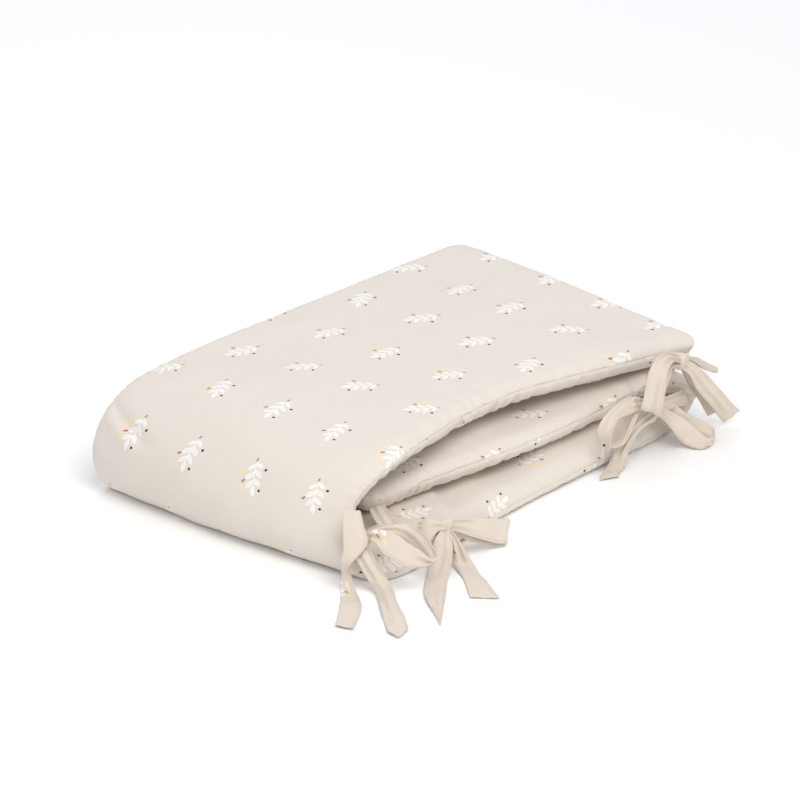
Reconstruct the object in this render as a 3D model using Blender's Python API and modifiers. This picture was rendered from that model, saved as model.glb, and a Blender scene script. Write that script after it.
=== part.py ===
"""Crib bumper, folded in three for storage, with its four tapes tied in bows.

The bumper is one long padded panel: two cloth faces sewn together round one seam, with wadding
between them. It is folded like a letter: the top run, a wide outer wrap at -X, the bottom run on
the surface, a close fold at +X, and the middle run, whose free end lies inside the wrap. The long
seam at -Y carries four tapes, one at each free end and one at each fold, each tied in a bow.

Metres, +Z up. The origin is on the surface it rests on, under the middle of the pack.
"""

import math

import bpy
import numpy as np
from mathutils import Matrix, Vector

MM = 0.001

# ---------------------------------------------------------------- driving dimensions, in mm
RIM_DEPTH_OUTER = 16.0  # how far in from the seam the outer cloth face reaches its full height
RIM_DEPTH_INNER = 21.0  # the same for the inner cloth face, which bellies more
CROWN = 0.12  # share of the padding's height that is lost towards the long seams
CORNER_RADIUS = 18.0  # of the panel's corners in plan
CORNER_EASE = 70.0  # length over which the corner's rounding fades into the run
STATIONS_ALONG = 66
STATIONS_ACROSS = 16
BEND_WEIGHT = 60.0  # mm of run that one radian of bend counts for, when stations are shared out

TAPE_THICKNESS = 2.0
TAPE_LIFT = 0.4  # clearance of a tape that lies on the surface
TAPE_STATION = 11.0  # mm of weighted run between a tape's cross-sections
TAPE_BEND_WEIGHT = 11.0  # mm of run that one radian of bend or twist counts for

# The panel's rows, from its free top end to its free middle end. Each row is one section across
# the strip: where its seam surface passes at the front seam, halfway across and at the back seam.
# Outer and inner are the padding's height over and under that surface.
#     name             front: x     y    z  middle: x    z  back: x    y    z  outer  inner
PANEL_ROWS = (
    ("top end",             278, -178,  97,      287,  100,     286,  197, 103,    11,    21),
    ("top right",           180, -158,  98,      185,  102,     190,  197, 104,    12,    23),
    ("top middle",           30, -130, 102,       30,  105,      30,  194, 106,    12,    23),
    ("top left",           -115, -147, 107,     -125,  109,    -135,  192, 108,    12,    23),
    ("wrap top",           -192, -163, 105,     -204,  108,    -206,  190, 106,    12,    21),
    ("wrap shoulder",      -240, -164,  89,     -260,   96,    -260,  190,  95,    12,    20),
    ("wrap side",          -267, -162,  56,     -296,   61,    -296,  189,  60,    12,    20),
    ("wrap low",           -280, -181,  27,     -301,   30,    -300,  187,  31,    12,    20),
    ("wrap foot",          -273, -203,  12,     -281,   12,    -288,  184,  12,    13,    21),
    ("bottom left",        -190, -213,  11,     -180,   11,    -180,  182,  11,    14,    22),
    ("bottom middle",         0, -189,  11,       10,   11,      10,  181,  11,    14,    22),
    ("bottom right",        170, -182,  11,      180,   11,     185,  183,  11,    14,    22),
    ("fold foot",           242, -174,  13,      260,   13,     270,  183,  13,    14,    20),
    ("fold side",           272, -174,  35,      290,   35,     296,  183,  35,    11,    18),
    ("fold top",            242, -167,  57,      260,   58,     270,  183,  58,    11,    20),
    ("middle right",        170, -159,  58,      175,   59,     180,  183,  59,    12,    22),
    ("middle middle",        -5, -163,  58,        0,   60,       0,  181,  59,    12,    22),
    ("middle left",        -145, -148,  56,     -150,   59,    -150,  179,  58,    12,    22),
    ("middle end",         -216, -141,  52,     -220,   56,    -220,  177,  55,    11,    21),
)

# Each tie is one tape sewn to the front seam at its middle and tied in a bow. A knot has its
# centre and half sizes. A length of tape has one row for each bend: where its one edge is and
# where its other edge is. A loop starts and ends in the knot, a tail starts there.
TIES = {
    "tie_outer_wrap": {
        "knot": ((-291, -193, 50), (14, 8, 16)),
        "strap": (
            ( -268, -168,  68,   -270, -168,  48),
            ( -277, -178,  66,   -280, -179,  46),
            ( -287, -190,  60,   -288, -191,  46),
        ),
        "loop_into_left_tail": (
            ( -288, -183,  53,   -281, -190,  53),
            ( -288, -177,  64,   -277, -186,  62),
            ( -288, -174,  75,   -276, -185,  71),
            ( -289, -175,  82,   -277, -185,  78),
            ( -296, -178,  80,   -282, -192,  76),
            ( -304, -184,  70,   -288, -201,  68),
            ( -309, -189,  58,   -290, -208,  57),
            ( -313, -193,  46,   -297, -208,  47),
            ( -316, -193,  35,   -308, -202,  35),
            ( -310, -188,  18,   -303, -195,  18),
            ( -314, -191,   4,   -304, -202,   4),
            ( -341, -215,   2,   -327, -233,   2),
            ( -366, -235,   2,   -350, -251,   2),
            ( -384, -248,   2,   -378, -269,   2),
        ),
        "hanging_loop": (
            ( -285, -197,  59,   -288, -200,  48),
            ( -283, -205,  65,   -286, -209,  54),
            ( -279, -217,  68,   -287, -222,  48),
            ( -273, -229,  66,   -283, -235,  41),
            ( -265, -240,  57,   -275, -244,  33),
            ( -257, -249,  48,   -264, -250,  28),
            ( -248, -254,  39,   -252, -252,  26),
            ( -238, -255,  31,   -238, -250,  26),
            ( -231, -252,  33,   -234, -241,  23),
            ( -227, -244,  39,   -234, -230,  27),
            ( -227, -239,  46,   -236, -224,  34),
            ( -231, -233,  53,   -243, -223,  43),
            ( -238, -228,  61,   -255, -221,  53),
            ( -249, -220,  66,   -266, -215,  58),
            ( -261, -210,  66,   -273, -209,  58),
            ( -273, -200,  65,   -279, -202,  56),
            ( -283, -195,  60,   -286, -197,  52),
        ),
        "right_tail": (
            ( -295, -192,  43,   -284, -202,  47),
            ( -300, -200,  36,   -288, -212,  43),
            ( -299, -206,  27,   -287, -221,  30),
            ( -296, -211,  16,   -284, -228,  19),
            ( -296, -221,   4,   -292, -246,  11),
            ( -314, -246,   2,   -306, -265,   8),
            ( -340, -277,   2,   -321, -290,   4),
            ( -360, -302,   2,   -340, -313,   2),
        ),
    },
    "tie_middle_end": {
        "knot": ((-182, -220, 40), (8, 7, 11)),
        "strap": (
            ( -215, -165,  58,   -228, -152,  54),
            ( -220, -181,  50,   -235, -170,  45),
            ( -221, -196,  46,   -233, -188,  36),
            ( -206, -203,  46,   -211, -206,  29),
            ( -193, -209,  46,   -197, -213,  30),
            ( -179, -217,  44,   -182, -220,  36),
        ),
        "left_loop": (
            ( -181, -221,  45,   -184, -223,  38),
            ( -188, -218,  50,   -190, -223,  39),
            ( -194, -214,  52,   -196, -220,  38),
            ( -201, -209,  53,   -205, -220,  31),
            ( -205, -204,  49,   -210, -214,  29),
            ( -204, -200,  46,   -209, -209,  25),
            ( -199, -199,  46,   -202, -208,  25),
            ( -191, -203,  47,   -195, -211,  27),
            ( -183, -212,  46,   -186, -216,  34),
            ( -180, -220,  44,   -182, -222,  37),
        ),
        "right_loop": (
            ( -181, -219,  42,   -183, -221,  36),
            ( -163, -220,  35,   -168, -223,  27),
            ( -144, -221,  27,   -151, -226,  15),
            ( -124, -223,  20,   -134, -230,   7),
            ( -107, -225,  17,   -117, -234,   2),
            (  -98, -229,  20,   -110, -240,   2),
            (  -99, -235,  26,   -112, -243,   4),
            ( -111, -235,  31,   -122, -241,   7),
            ( -127, -233,  36,   -137, -238,  14),
            ( -146, -230,  42,   -156, -235,  24),
            ( -164, -228,  46,   -170, -231,  32),
            ( -177, -224,  47,   -180, -227,  37),
            ( -181, -219,  44,   -183, -221,  37),
        ),
        "left_tail": (
            ( -186, -219,  40,   -181, -225,  39),
            ( -204, -223,  32,   -192, -239,  27),
            ( -209, -223,  16,   -201, -246,  16),
            ( -222, -230,   4,   -212, -252,   4),
            ( -257, -257,   2,   -241, -275,   2),
            ( -282, -289,   2,   -272, -300,   2),
            ( -300, -317,   2,   -297, -320,   2),
            ( -307, -326,   2,   -306, -327,   2),
        ),
        "right_tail": (
            ( -184, -221,  37,   -180, -222,  42),
            ( -186, -229,  31,   -180, -234,  33),
            ( -190, -236,  22,   -181, -244,  24),
            ( -191, -239,   8,   -176, -252,   8),
            ( -199, -256,   2,   -182, -268,   2),
            ( -217, -281,   2,   -197, -296,   2),
            ( -235, -303,   2,   -215, -328,   2),
        ),
    },
    "tie_top_end": {
        "knot": ((225, -194, 96), (9, 8, 12)),
        "strap": (
            (  216, -172,  99,    235, -177,  98),
            (  219, -182,  98,    233, -185,  97),
            (  220, -192,  97,    229, -194,  96),
        ),
        "hanging_loop": (
            (  225, -194, 101,    223, -197,  93),
            (  205, -198, 113,    205, -204, 104),
            (  184, -202, 120,    188, -213, 110),
            (  167, -205, 116,    173, -221, 108),
            (  156, -207, 108,    164, -227, 102),
            (  149, -209,  94,    158, -229,  90),
            (  144, -210,  80,    154, -230,  77),
            (  143, -208,  71,    153, -228,  66),
            (  151, -202,  66,    163, -221,  60),
            (  163, -197,  73,    174, -215,  69),
            (  172, -194,  86,    183, -210,  81),
            (  184, -192, 100,    194, -207,  92),
            (  211, -192, 106,    209, -198,  94),
            (  227, -192,  99,    225, -196,  91),
        ),
        "right_loop": (
            (  226, -192, 100,    222, -195,  93),
            (  236, -192, 100,    231, -198,  95),
            (  248, -191,  93,    240, -200,  91),
            (  268, -189,  81,    256, -201,  81),
            (  287, -186,  69,    273, -200,  70),
            (  298, -182,  62,    284, -194,  64),
            (  300, -177,  61,    286, -189,  62),
            (  281, -179,  73,    267, -191,  74),
            (  258, -184,  87,    248, -193,  85),
            (  227, -191,  98,    224, -194,  92),
        ),
        "right_tail": (
            (  226, -195,  99,    221, -196,  92),
            (  232, -201,  96,    222, -201,  88),
            (  240, -206,  89,    226, -204,  82),
            (  258, -210,  69,    240, -203,  61),
            (  280, -211,  44,    263, -203,  35),
            (  298, -210,  25,    282, -201,  13),
            (  309, -209,  15,    293, -199,   2),
        ),
        "back_tail": (
            (  228, -194,  95,    224, -192,  90),
            (  258, -194,  60,    251, -184,  56),
            (  277, -195,  36,    269, -183,  33),
            (  293, -193,  15,    284, -183,   8),
        ),
    },
    "tie_inner_fold": {
        "knot": ((191, -187, 49), (10, 9, 12)),
        "strap": (
            (  252, -179,  48,    248, -188,  32),
            (  228, -183,  54,    224, -190,  40),
            (  207, -187,  57,    203, -194,  44),
            (  187, -189,  56,    184, -193,  47),
        ),
        "left_loop": (
            (  192, -189,  53,    190, -191,  46),
            (  160, -192,  72,    156, -197,  62),
            (  138, -194,  80,    130, -204,  66),
            (  111, -196,  77,    105, -210,  69),
            (   92, -196,  67,     91, -216,  64),
            (   85, -195,  54,     84, -217,  53),
            (   98, -192,  40,     94, -213,  41),
            (  119, -190,  31,    113, -209,  38),
            (  135, -190,  38,    128, -206,  45),
            (  145, -190,  50,    137, -204,  56),
            (  162, -190,  61,    156, -197,  60),
            (  180, -188,  59,    175, -192,  51),
            (  192, -189,  52,    189, -191,  46),
        ),
        "right_loop": (
            (  186, -190,  54,    183, -192,  47),
            (  196, -194,  51,    190, -198,  39),
            (  206, -200,  43,    196, -205,  28),
            (  219, -209,  32,    204, -210,  15),
            (  231, -217,  17,    213, -213,   6),
            (  239, -223,  10,    219, -224,   3),
            (  247, -226,  11,    231, -230,   3),
            (  252, -221,  14,    237, -223,   5),
            (  243, -208,  24,    222, -201,  12),
            (  226, -197,  38,    207, -193,  22),
            (  211, -185,  51,    198, -186,  33),
            (  194, -184,  51,    191, -184,  44),
        ),
        "left_tail": (
            (  182, -190,  55,    185, -196,  50),
            (  165, -196,  53,    171, -206,  47),
            (  147, -192,  44,    160, -205,  45),
            (  131, -189,  28,    142, -199,  30),
            (  115, -192,  18,    126, -205,  18),
            (  107, -191,   6,    126, -202,   5),
            (   94, -194,   2,    115, -204,   2),
            (   84, -202,   2,    105, -211,   2),
        ),
    },
}
KNOT_PAN = -47.0  # degrees: the bows face the open corner of the pack

PANEL_COLOUR = (0.74, 0.65, 0.56, 1.0)
TAPE_COLOUR = (0.78, 0.68, 0.58, 1.0)


# ---------------------------------------------------------------- scene
def clear_scene():
    for scene_object in list(bpy.data.objects):
        bpy.data.objects.remove(scene_object, do_unlink=True)


def new_collection(name, hidden=False):
    collection = bpy.data.collections.new(name)
    bpy.context.scene.collection.children.link(collection)
    collection.hide_render = hidden
    return collection


def cotton(name, colour):
    """Plain woven cotton: matt, not metallic."""
    material = bpy.data.materials.new(name)
    material.use_nodes = True
    shader = material.node_tree.nodes["Principled BSDF"]
    shader.inputs["Base Color"].default_value = colour
    shader.inputs["Roughness"].default_value = 0.9
    shader.inputs["Metallic"].default_value = 0.0
    material.diffuse_color = colour
    return material


def new_object(name, points_mm, faces, material, collection):
    mesh = bpy.data.meshes.new(name)
    mesh.from_pydata((np.asarray(points_mm) * MM).tolist(), [], faces)
    mesh.materials.append(material)
    mesh.shade_smooth()
    mesh_object = bpy.data.objects.new(name, mesh)
    collection.objects.link(mesh_object)
    return mesh_object


# ---------------------------------------------------------------- curves through rows
def spline(knots, values, places):
    """Natural cubic spline through values at knots, read at places. All columns at once."""
    step = np.diff(knots)[:, None]
    slope = np.diff(values, axis=0) / step
    system = np.eye(len(knots))
    right = np.zeros_like(values)
    for row in range(1, len(knots) - 1):
        system[row, row - 1 : row + 2] = (
            step[row - 1, 0],
            2 * (step[row - 1, 0] + step[row, 0]),
            step[row, 0],
        )
        right[row] = 6 * (slope[row] - slope[row - 1])
    bend = np.linalg.solve(system, right)
    span = np.clip(np.searchsorted(knots, places, side="right") - 1, 0, len(knots) - 2)
    offset = (places - knots[span])[:, None]
    linear = slope[span] - step[span] * (2 * bend[span] + bend[span + 1]) / 6
    cubic = (bend[span + 1] - bend[span]) / (6 * step[span])
    return values[span] + offset * linear + offset**2 * bend[span] / 2 + offset**3 * cubic


def distances(points):
    """Distance along a polyline at each of its points."""
    return np.concatenate([[0], np.cumsum(np.linalg.norm(np.diff(points, axis=0), axis=1))])


# ---------------------------------------------------------------- the padded panel
def panel_run():
    """The rows as smooth columns, with the distance along the strip's middle line."""
    rows = np.array([row[1:] for row in PANEL_ROWS], float)
    middle = rows[:, [3, 4]]
    knots = np.concatenate([[0], np.cumsum(np.linalg.norm(np.diff(middle, axis=0), axis=1) ** 0.75)])
    columns = spline(knots, rows, np.linspace(0, knots[-1], 3000))
    return distances(columns[:, [3, 4]]), columns


def stations_along(distance, columns, count):
    """Places along the strip, closer together where it bends and towards its two ends."""
    line = columns[:, [3, 4]]
    heading = np.unwrap(np.arctan2(*np.gradient(line, distance, axis=0).T))
    weight = distance + BEND_WEIGHT * np.concatenate([[0], np.cumsum(np.abs(np.diff(heading)))])
    ease = RIM_DEPTH_INNER * (1 - np.cos(np.linspace(0, math.pi / 2, 5)))
    start, end = ease[-1], distance[-1] - ease[-1]
    first, last = np.interp((start, end), distance, weight)
    inner = np.interp(np.linspace(first, last, count - 7), weight, distance)
    return np.concatenate([ease[:-1], inner, distance[-1] - ease[-2::-1]])


def stations_across(count):
    """Places across the strip from -1, the front seam, to 1, closer together at both seams."""
    even = np.linspace(-1, 1, count + 1)
    return even + 0.85 * np.sin(math.pi * even) / math.pi


def rim(inward, depth):
    """Quarter ellipse: 0 on the seam, 1 from the rim's depth inwards."""
    return np.sqrt(1 - np.clip(1 - inward / depth, 0, 1) ** 2)


def seam_surface(places, across, distance, columns):
    """The surface that both cloth faces are measured from: a parabola across each section."""
    x_front, y_front, z_front, x_mid, z_mid, x_back, y_back, z_back, outer, inner = (
        np.interp(places, distance, column) for column in columns.T
    )
    y_mid = (y_front + y_back) / 2
    front, middle, back = (
        np.stack(part, axis=-1)
        for part in ((x_front, y_front, z_front), (x_mid, y_mid, z_mid), (x_back, y_back, z_back))
    )
    share = across[..., None]
    surface = front * share * (share - 1) / 2 + middle * (1 - share**2) + back * share * (share + 1) / 2
    return surface, outer, inner


def panel_skins():
    """Outer and inner cloth faces, as two grids that share their border, the seam."""
    distance, columns = panel_run()
    length = distance[-1]
    along = stations_along(distance, columns, STATIONS_ALONG)
    across = stations_across(STATIONS_ACROSS)
    half_width = (columns[:, 6] - columns[:, 1]).mean() / 2

    from_seam = (1 - np.abs(across)) * half_width
    corner = np.clip(CORNER_RADIUS - from_seam, 0, CORNER_RADIUS)
    notch = CORNER_RADIUS - np.sqrt(CORNER_RADIUS**2 - corner**2)
    ease = np.clip(1 - along[:, None] / CORNER_EASE, 0, 1) - np.clip(
        1 - (length - along[:, None]) / CORNER_EASE, 0, 1
    )
    places = along[:, None] + notch * ease
    sideways = np.broadcast_to(across, places.shape)

    surface, outer, inner = seam_surface(places, sideways, distance, columns)
    run = np.gradient(surface, along, axis=0)
    width = np.gradient(surface, across, axis=1)
    normal = np.cross(width, run)
    normal /= np.linalg.norm(normal, axis=2, keepdims=True)

    from_end = np.minimum(places - notch, length - notch - places)
    crown = 1 - CROWN * sideways**2
    rise = outer * crown * rim(from_seam, RIM_DEPTH_OUTER) * rim(from_end, RIM_DEPTH_OUTER)
    belly = inner * crown * rim(from_seam, RIM_DEPTH_INNER) * rim(from_end, RIM_DEPTH_INNER)
    skins = surface + normal * rise[..., None], surface - normal * belly[..., None]
    for skin in skins:
        skin[..., 2] = np.maximum(skin[..., 2], 0)  # settled flat on the surface
    return skins


def sewn_faces(rows, columns):
    """Quads of two grids of rows by columns points whose border points are one and the same."""
    index = np.arange(rows * columns).reshape(rows, columns)
    under = index.copy()
    under[1:-1, 1:-1] = rows * columns + np.arange((rows - 2) * (columns - 2)).reshape(rows - 2, -1)
    upper = np.stack([index[:-1, :-1], index[:-1, 1:], index[1:, 1:], index[1:, :-1]], axis=-1)
    lower = np.stack([under[:-1, :-1], under[1:, :-1], under[1:, 1:], under[:-1, 1:]], axis=-1)
    return np.concatenate([upper.reshape(-1, 4), lower.reshape(-1, 4)]).tolist()


def build_panel(material, collection):
    outer, inner = panel_skins()
    rows, columns = outer.shape[:2]
    points = np.concatenate([outer.reshape(-1, 3), inner[1:-1, 1:-1].reshape(-1, 3)])
    return new_object("padded_panel", points, sewn_faces(rows, columns), material, collection)


# ---------------------------------------------------------------- the tapes
def build_tape(name, rows, material, collection):
    """One flat length of tape: an open strip between its two edges, made thick by Solidify."""
    rows = np.array(rows, float)
    knots = distances((rows[:, :3] + rows[:, 3:]) / 2)
    fine = np.linspace(0, knots[-1], 600)
    edges = spline(knots, rows, fine)
    line = (edges[:, :3] + edges[:, 3:]) / 2
    heading = np.gradient(line, fine, axis=0)
    heading /= np.linalg.norm(heading, axis=1, keepdims=True)
    side = edges[:, 3:] - edges[:, :3]
    side /= np.linalg.norm(side, axis=1, keepdims=True)
    turn = np.linalg.norm(np.diff(heading, axis=0), axis=1) + np.linalg.norm(np.diff(side, axis=0), axis=1)
    weight = distances(line) + TAPE_BEND_WEIGHT * np.concatenate([[0], np.cumsum(turn)])
    count = max(3, round(weight[-1] / TAPE_STATION)) + 1
    chosen = np.interp(np.linspace(0, weight[-1], count), weight, np.arange(len(fine))).round().astype(int)

    points = edges[chosen].reshape(-1, 3)
    points[:, 2] = np.maximum(points[:, 2], TAPE_LIFT + TAPE_THICKNESS / 2)
    quads = [(2 * i, 2 * i + 1, 2 * i + 3, 2 * i + 2) for i in range(count - 1)]
    tape = new_object(name, points, quads, material, collection)
    solidify = tape.modifiers.new("thickness", "SOLIDIFY")
    solidify.thickness = TAPE_THICKNESS * MM
    solidify.offset = 0.0
    return tape


def build_knot(name, centre, half_sizes, material, collection):
    """The bow's knot: a ball pressed to its three half sizes, turned to face the way the bow does."""
    bpy.ops.mesh.primitive_uv_sphere_add(segments=16, ring_count=10, radius=1.0)
    knot = bpy.context.object
    knot.name = name
    place = Matrix.Translation(Vector(centre) * MM)
    turn = Matrix.Rotation(math.radians(KNOT_PAN), 4, "Z")
    knot.data.transform(place @ turn @ Matrix.Diagonal((*(Vector(half_sizes) * MM), 1)))
    knot.data.materials.append(material)
    knot.data.shade_smooth()
    for owner in list(knot.users_collection):
        owner.objects.unlink(knot)
    collection.objects.link(knot)
    return knot


def build_tie(name, tie, material, collection, helpers):
    """A knot with its strap, loops and tails joined to it as one piece."""
    centre, half_sizes = tie["knot"]
    knot = build_knot(name, centre, half_sizes, material, collection)
    for length_name, rows in tie.items():
        if length_name == "knot":
            continue
        tape = build_tape(f"{name}_{length_name}", rows, material, helpers)
        tape.hide_render = True
        tape.display_type = "WIRE"
        union = knot.modifiers.new(length_name, "BOOLEAN")
        union.operation = "UNION"
        union.solver = "EXACT"
        union.use_self = True
        union.object = tape
    return knot


def main():
    clear_scene()
    parts = new_collection("crib_bumper")
    helpers = new_collection("tape_lengths", hidden=True)
    build_panel(cotton("printed_cotton", PANEL_COLOUR), parts)
    tape_cotton = cotton("tape_cotton", TAPE_COLOUR)
    for name, tie in TIES.items():
        build_tie(name, tie, tape_cotton, parts, helpers)


main()
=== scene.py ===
"""Dressed model of a crib bumper, folded in three with its four tapes tied in bows.

The long padded panel is a closed bag of two cloth faces joined round one puckered seam. Each tie is
a flat tape, sewn at its middle to the panel's front seam and tied in a bow. Every piece is a surface
worked out on a grid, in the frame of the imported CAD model, and lies where its CAD solid lies.
Lengths are in millimetres until a piece is put into its mesh, which is in metres.
"""

import logging
import math
from dataclasses import dataclass
from enum import Enum

import bpy
import numpy as np
from mathutils import Matrix, Vector


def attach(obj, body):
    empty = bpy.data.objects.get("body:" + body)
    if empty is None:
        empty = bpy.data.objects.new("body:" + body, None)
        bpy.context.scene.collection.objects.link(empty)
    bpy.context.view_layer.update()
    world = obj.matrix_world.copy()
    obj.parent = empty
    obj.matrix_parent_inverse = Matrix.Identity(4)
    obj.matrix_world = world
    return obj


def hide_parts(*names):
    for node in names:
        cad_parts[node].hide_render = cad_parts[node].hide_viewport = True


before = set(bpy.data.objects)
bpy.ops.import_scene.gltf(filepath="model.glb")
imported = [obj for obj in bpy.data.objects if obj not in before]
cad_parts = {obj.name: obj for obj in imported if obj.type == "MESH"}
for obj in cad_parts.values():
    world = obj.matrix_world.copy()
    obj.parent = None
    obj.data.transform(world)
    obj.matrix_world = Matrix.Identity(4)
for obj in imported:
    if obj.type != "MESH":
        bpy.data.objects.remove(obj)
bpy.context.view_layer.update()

MM = 0.001
LOG = logging.getLogger("crib_bumper")

Array = np.ndarray
Row = tuple[float, ...]
# points in mm, faces, and u and v in metres for each corner of each face
Shape = tuple[Array, Array, Array]
Tree = bpy.types.NodeTree
Socket = bpy.types.NodeSocket
Value = Socket | float | tuple[float, ...]
Material = bpy.types.Material
Piece = bpy.types.Object

# a ripple's number of waves, the range of their lengths as shares, and what their sum is divided by
RIPPLE_WAVES = 8
RIPPLE_LENGTHS = (0.7, 1.5)
RIPPLE_SCALE = 2.8


# ---------------------------------------------------------------- curves and ripples
def spline(knots: Array, values: Array, places: Array) -> Array:
    """Natural cubic spline through values at knots: each span is a cubic whose bends meet its neighbours'.

    Args:
        knots: rising positions along the curve.
        values: one row of columns for each knot.
        places: where the curve is read.

    Returns:
        One row of columns for each place.
    """
    step = np.diff(knots)[:, None]
    slope = np.diff(values, axis=0) / step
    system = np.eye(len(knots))
    right = np.zeros_like(values)
    for row in range(1, len(knots) - 1):
        near, far = step[row - 1, 0], step[row, 0]
        system[row, row - 1 : row + 2] = (near, 2 * (near + far), far)
        right[row] = 6 * (slope[row] - slope[row - 1])
    bend = np.linalg.solve(system, right)
    span = np.clip(np.searchsorted(knots, places, side="right") - 1, 0, len(knots) - 2)
    offset = (places - knots[span])[:, None]
    climb = slope[span] - step[span] * (2 * bend[span] + bend[span + 1]) / 6
    cubic = (bend[span + 1] - bend[span]) / (6 * step[span])
    return values[span] + offset * climb + offset**2 * bend[span] / 2 + offset**3 * cubic


def distances(points: Array) -> Array:
    """Distance along a polyline at each of its points: the running sum of its steps."""
    return np.concatenate([[0], np.cumsum(np.linalg.norm(np.diff(points, axis=0), axis=1))])


def unit(vectors: Array) -> Array:
    """The vectors of an array's last axis, each at length one."""
    return vectors / np.maximum(np.linalg.norm(vectors, axis=-1, keepdims=True), 1e-9)


def bell(offset: Array, width: float | Array) -> Array:
    """A smooth hump of height one, which falls to about a third at one width from its middle."""
    return np.exp(-((offset / width) ** 2))


def ripple(along: Array, across: Array, wavelength: float, seed: int) -> Array:
    """Uneven waves: the sum of eight sine waves whose headings, lengths and phases vary by the seed.

    Args:
        along: distance along the cloth.
        across: distance across the cloth.
        wavelength: the waves' mean length, in the same unit.
        seed: picks one set of waves.

    Returns:
        Heights scaled down to lie mostly between -1 and 1.
    """
    chance = np.random.default_rng(seed)
    headings = chance.uniform(0, math.pi, RIPPLE_WAVES)
    lengths = chance.uniform(*RIPPLE_LENGTHS, RIPPLE_WAVES)
    phases = chance.uniform(0, 2 * math.pi, RIPPLE_WAVES)
    total = np.zeros(np.broadcast(along, across).shape)
    for heading, length, phase in zip(headings, lengths, phases):
        run = along * math.cos(heading) + across * math.sin(heading)
        total += np.sin(2 * math.pi * run / (length * wavelength) + phase)
    return total / RIPPLE_SCALE


# ---------------------------------------------------------------- meshes and objects
def quads_of(index: Array) -> Array:
    """The quads of a grid of point numbers, each turned the same way."""
    corners = (index[:-1, :-1], index[:-1, 1:], index[1:, 1:], index[1:, :-1])
    return np.stack(corners, axis=-1).reshape(-1, 4)


def tube(rings: Array, u: Array, v: Array) -> Shape:
    """A closed tube: its wall, and a strip of quads across each end, all turned outward.

    Args:
        rings: points in mm, one row for each ring, with an even number of points in a ring.
        u: the cloth's u in metres, in any shape that spreads over the rings' points.
        v: the cloth's v, likewise.

    Returns:
        The points, the faces, and u and v for each corner of each face.
    """
    grid = rings.shape[:2]
    index = np.arange(math.prod(grid)).reshape(grid)
    wall = quads_of(np.concatenate([index, index[:, :1]], axis=1))[:, ::-1]
    half = grid[1] // 2
    ends = [np.stack([ring[:half], ring[: half - 1 : -1]]) for ring in (index[0], index[-1])]
    faces = np.concatenate([wall, quads_of(ends[0]), quads_of(ends[1])[:, ::-1]])
    cloth = np.stack([np.broadcast_to(u, grid), np.broadcast_to(v, grid)], axis=-1).reshape(-1, 2)
    return rings.reshape(-1, 3), faces, cloth[faces]


def add_object(name: str, data: bpy.types.ID) -> Piece:
    """Puts a mesh, a lamp or a lens into the scene as an object at the origin."""
    item = bpy.data.objects.new(name, data)
    bpy.context.scene.collection.objects.link(item)
    return item


def mesh_object(name: str, points: Array, faces: Array, cloth: Array, finish: Material) -> Piece:
    """Puts whole arrays into a smooth mesh with a cloth UV map.

    Args:
        name: of the object and its mesh.
        points: one row of x, y, z for each point, in mm.
        faces: four point numbers for each face.
        cloth: u and v in metres for each corner of each face.
        finish: the material.

    Returns:
        The new object, at the origin.
    """
    mesh = bpy.data.meshes.new(name)
    mesh.vertices.add(len(points))
    mesh.vertices.foreach_set("co", (points * MM).astype(np.float32).ravel())
    mesh.loops.add(faces.size)
    mesh.loops.foreach_set("vertex_index", faces.astype(np.int32).ravel())
    mesh.polygons.add(len(faces))
    mesh.polygons.foreach_set("loop_start", np.arange(0, faces.size, 4, dtype=np.int32))
    layer = mesh.uv_layers.new(name="cloth")
    layer.uv.foreach_set("vector", cloth.astype(np.float32).ravel())
    mesh.update(calc_edges=True)
    mesh.validate()
    mesh.shade_smooth()
    mesh.materials.append(finish)
    return add_object(name, mesh)


# ---------------------------------------------------------------- finishes
def linear(hex_colour: str) -> tuple[float, float, float, float]:
    """An sRGB hex colour as linear red, green, blue and alpha."""
    parts = [int(hex_colour[place : place + 2], 16) / 255 for place in (1, 3, 5)]
    return (*(c / 12.92 if c <= 0.04045 else ((c + 0.055) / 1.055) ** 2.4 for c in parts), 1.0)


def plug(tree: Tree, node: bpy.types.Node, inputs: dict) -> None:
    """Sets a node's sockets, by name or number: an output is linked, and a plain value is stored."""
    for socket, value in inputs.items():
        if isinstance(value, Socket):
            tree.links.new(value, node.inputs[socket])
        else:
            node.inputs[socket].default_value = value


def add_node(tree: Tree, kind: str, inputs: dict | None = None, output: str | int = 0, **settings) -> Socket:
    """Adds one shader node.

    Args:
        tree: the material's nodes.
        kind: the node's type, without its ShaderNode prefix.
        inputs: for each socket, by name or number, a plain value or the output that feeds it.
        output: which output is wanted, by name or number.
        settings: the node's own properties.

    Returns:
        The wanted output of the new node.
    """
    node = tree.nodes.new(f"ShaderNode{kind}")
    for name, value in settings.items():
        setattr(node, name, value)
    plug(tree, node, inputs or {})
    return node.outputs[output]


def calc(tree: Tree, kind: str, operation: str, *values: Value) -> Socket:
    """The result of one Math or VectorMath node, from its operands in order."""
    return add_node(tree, kind, dict(enumerate(values)), operation=operation)


def blend(tree: Tree, share: Socket, first: Value, second: Value) -> Socket:
    """The first colour where the share is 0, and the second where it is 1."""
    return add_node(tree, "Mix", {0: share, 6: first, 7: second}, 2, data_type="RGBA")


def new_material(name: str) -> tuple[Material, Tree]:
    """A new material with a Principled surface, and its nodes."""
    material = bpy.data.materials.new(name)
    material.use_nodes = True
    return material, material.node_tree


class Ink(Enum):
    """The printed colours."""

    WHITE = "#F2EFEA"
    VEIN = "#DDD6CE"
    YELLOW = "#EFDCAC"
    BROWN = "#BA835F"
    DARK = "#38322F"


@dataclass(frozen=True)
class Mark:
    """One printed shape of the sprig, in mm from the sprig's middle, x along its stem."""

    ink: Ink
    x: float
    y: float
    turn: float
    half_length: float
    half_width: float
    pointed: bool = True
    second_bud: bool = False


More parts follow.
